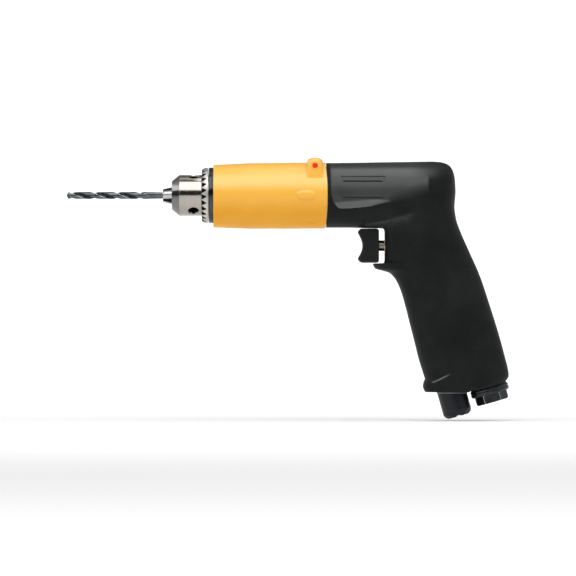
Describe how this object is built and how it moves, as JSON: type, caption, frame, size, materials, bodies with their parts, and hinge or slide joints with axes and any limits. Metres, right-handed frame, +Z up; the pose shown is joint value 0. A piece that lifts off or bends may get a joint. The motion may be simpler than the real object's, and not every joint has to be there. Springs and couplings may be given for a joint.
{
  "type": "air drill",
  "caption": "Pistol-grip pneumatic drill: keyed chuck with twist bit, planetary gear, vane motor, finger trigger, air inlet and silencer under the grip.",
  "frame": {"origin": "middle of the hand grip", "axes": "+X to the rear along the spindle axis, away from the bit, +Z up, +Y to the drill's far side"},
  "size_m": [0.246, 0.038, 0.1448],
  "materials": {
    "inner_steel": "ground and turned steel",
    "housing_plastic": "matte black moulded composite, fine texture",
    "yellow_plastic": "satin yellow moulded plastic",
    "red_plastic": "gloss red plastic",
    "case_alloy": "turned alloy",
    "rubber": "black nitrile rubber",
    "blued_steel": "blued steel",
    "brass": "turned brass",
    "inlet_steel": "blackened steel",
    "silencer_plastic": "blue-black moulded plastic",
    "felt": "pressed felt",
    "chuck_steel": "polished steel",
    "vane_laminate": "phenolic laminate",
    "jaw_steel": "hardened ground steel",
    "dark_steel": "oxidised high-speed steel",
    "trigger_plastic": "satin black plastic"
  },
  "bodies": {
    "root": {"housing": "housing_plastic", "front_sleeve": "yellow_plastic", "sleeve_plugs": "red_plastic", "gear_case": "case_alloy", "case_gasket": "rubber", "front_nut": "blued_steel", "spindle_seal": "rubber", "front_bearing_outer": "inner_steel", "outer_spacer": "inner_steel", "rear_bearing_outer": "inner_steel", "ring_gear": "inner_steel", "front_end_plate": "case_alloy", "rotor_front_bearing_outer": "inner_steel", "cylinder_liner": "inner_steel", "liner_pin": "inner_steel", "rear_end_plate": "case_alloy", "rotor_rear_bearing_outer": "inner_steel", "spring_washer": "inner_steel", "valve_bush": "brass", "bush_ring": "rubber", "valve_seat": "brass", "valve_spring": "inner_steel", "inlet_bushing": "inlet_steel", "inlet_ring": "rubber", "inlet_strainer": "brass", "exhaust_silencer": "silencer_plastic", "silencer_felt": "felt"},
    "spindle": {"spindle": "inner_steel", "planet_pins": "inner_steel", "front_bearing_inner": "inner_steel", "rear_bearing_inner": "inner_steel", "inner_spacer": "inner_steel", "chuck_body": "chuck_steel"},
    "front_balls": {"front_bearing_balls": "inner_steel"},
    "rear_balls": {"rear_bearing_balls": "inner_steel"},
    "rotor": {"rotor": "inner_steel", "rotor_vanes": "vane_laminate", "rotor_front_bearing_inner": "inner_steel", "rotor_rear_bearing_inner": "inner_steel"},
    "rotor_front_balls": {"rotor_front_bearing_balls": "inner_steel"},
    "rotor_rear_balls": {"rotor_rear_bearing_balls": "inner_steel"},
    "planet_1": {"planet_gear_1": "inner_steel"},
    "planet_2": {"planet_gear_2": "inner_steel"},
    "planet_3": {"planet_gear_3": "inner_steel"},
    "chuck_sleeve": {"chuck_sleeve": "chuck_steel", "chuck_nut": "inner_steel"},
    "jaw_1": {"jaw_1": "jaw_steel"},
    "jaw_2": {"jaw_2": "jaw_steel"},
    "jaw_3": {"jaw_3": "jaw_steel"},
    "bit": {"drill_bit": "dark_steel"},
    "trigger": {"trigger": "trigger_plastic", "trigger_plunger": "inner_steel", "trigger_pin": "inner_steel"},
    "valve": {"valve_poppet": "brass"}
  },
  "joints": [
    {"name": "spindle_spin", "type": "hinge", "parent": "root", "child": "spindle", "pos_m": [-0.065, 0, 0.058], "axis": [1, 0, 0], "continuous": true},
    {"name": "rotor_spin", "type": "hinge", "parent": "root", "child": "rotor", "pos_m": [-0.065, 0, 0.058], "axis": [1, 0, 0], "continuous": true},
    {"name": "front_balls_roll", "type": "hinge", "parent": "root", "child": "front_balls", "pos_m": [-0.065, 0, 0.058], "axis": [1, 0, 0], "continuous": true},
    {"name": "rear_balls_roll", "type": "hinge", "parent": "root", "child": "rear_balls", "pos_m": [-0.065, 0, 0.058], "axis": [1, 0, 0], "continuous": true},
    {"name": "rotor_front_balls_roll", "type": "hinge", "parent": "root", "child": "rotor_front_balls", "pos_m": [-0.065, 0, 0.058], "axis": [1, 0, 0], "continuous": true},
    {"name": "rotor_rear_balls_roll", "type": "hinge", "parent": "root", "child": "rotor_rear_balls", "pos_m": [-0.065, 0, 0.058], "axis": [1, 0, 0], "continuous": true},
    {"name": "planet_1_spin", "type": "hinge", "parent": "spindle", "child": "planet_1", "pos_m": [-0.065, 0.00675, 0.058], "axis": [1, 0, 0], "continuous": true},
    {"name": "planet_2_spin", "type": "hinge", "parent": "spindle", "child": "planet_2", "pos_m": [-0.065, -0.00337, 0.06385], "axis": [1, 0, 0], "continuous": true},
    {"name": "planet_3_spin", "type": "hinge", "parent": "spindle", "child": "planet_3", "pos_m": [-0.065, -0.00337, 0.05215], "axis": [1, 0, 0], "continuous": true},
    {"name": "chuck_sleeve_turn", "type": "hinge", "parent": "spindle", "child": "chuck_sleeve", "pos_m": [-0.065, 0, 0.058], "axis": [1, 0, 0], "range_deg": [0, 1159]},
    {"name": "jaw_1_slide", "type": "slide", "parent": "spindle", "child": "jaw_1", "axis": [0.9659, 0.0906, -0.2424], "range_m": [0, 0.00483]},
    {"name": "jaw_2_slide", "type": "slide", "parent": "spindle", "child": "jaw_2", "axis": [0.9659, 0.1646, 0.1997], "range_m": [0, 0.00483]},
    {"name": "jaw_3_slide", "type": "slide", "parent": "spindle", "child": "jaw_3", "axis": [0.9659, -0.2553, 0.0427], "range_m": [0, 0.00483]},
    {"name": "bit_draw", "type": "slide", "parent": "spindle", "child": "bit", "axis": [-1, 0, 0], "range_m": [0, 0.02]},
    {"name": "trigger_pull", "type": "slide", "parent": "root", "child": "trigger", "axis": [1, 0, 0], "range_m": [0, 0.0025], "stiffness_N_per_m": 1200, "springref_m": -0.002},
    {"name": "valve_lift", "type": "slide", "parent": "root", "child": "valve", "axis": [1, 0, 0], "range_m": [0, 0.0025], "deforming": ["valve_spring"]}
  ],
  "couplings": [
    {"joint": "rotor_spin", "follows": "spindle_spin", "ratio": 4.5},
    {"joint": "front_balls_roll", "follows": "spindle_spin", "ratio": 0.38},
    {"joint": "rear_balls_roll", "follows": "spindle_spin", "ratio": 0.38},
    {"joint": "rotor_front_balls_roll", "follows": "spindle_spin", "ratio": 1.8},
    {"joint": "rotor_rear_balls_roll", "follows": "spindle_spin", "ratio": 1.8},
    {"joint": "planet_1_spin", "follows": "spindle_spin", "ratio": -2.8},
    {"joint": "planet_2_spin", "follows": "spindle_spin", "ratio": -2.8},
    {"joint": "planet_3_spin", "follows": "spindle_spin", "ratio": -2.8},
    {"joint": "jaw_1_slide", "follows": "chuck_sleeve_turn", "m_per_rad": 0.00023873},
    {"joint": "jaw_2_slide", "follows": "chuck_sleeve_turn", "m_per_rad": 0.00023873},
    {"joint": "jaw_3_slide", "follows": "chuck_sleeve_turn", "m_per_rad": 0.00023873},
    {"joint": "valve_lift", "follows": "trigger_pull", "ratio": 1}
  ]
}
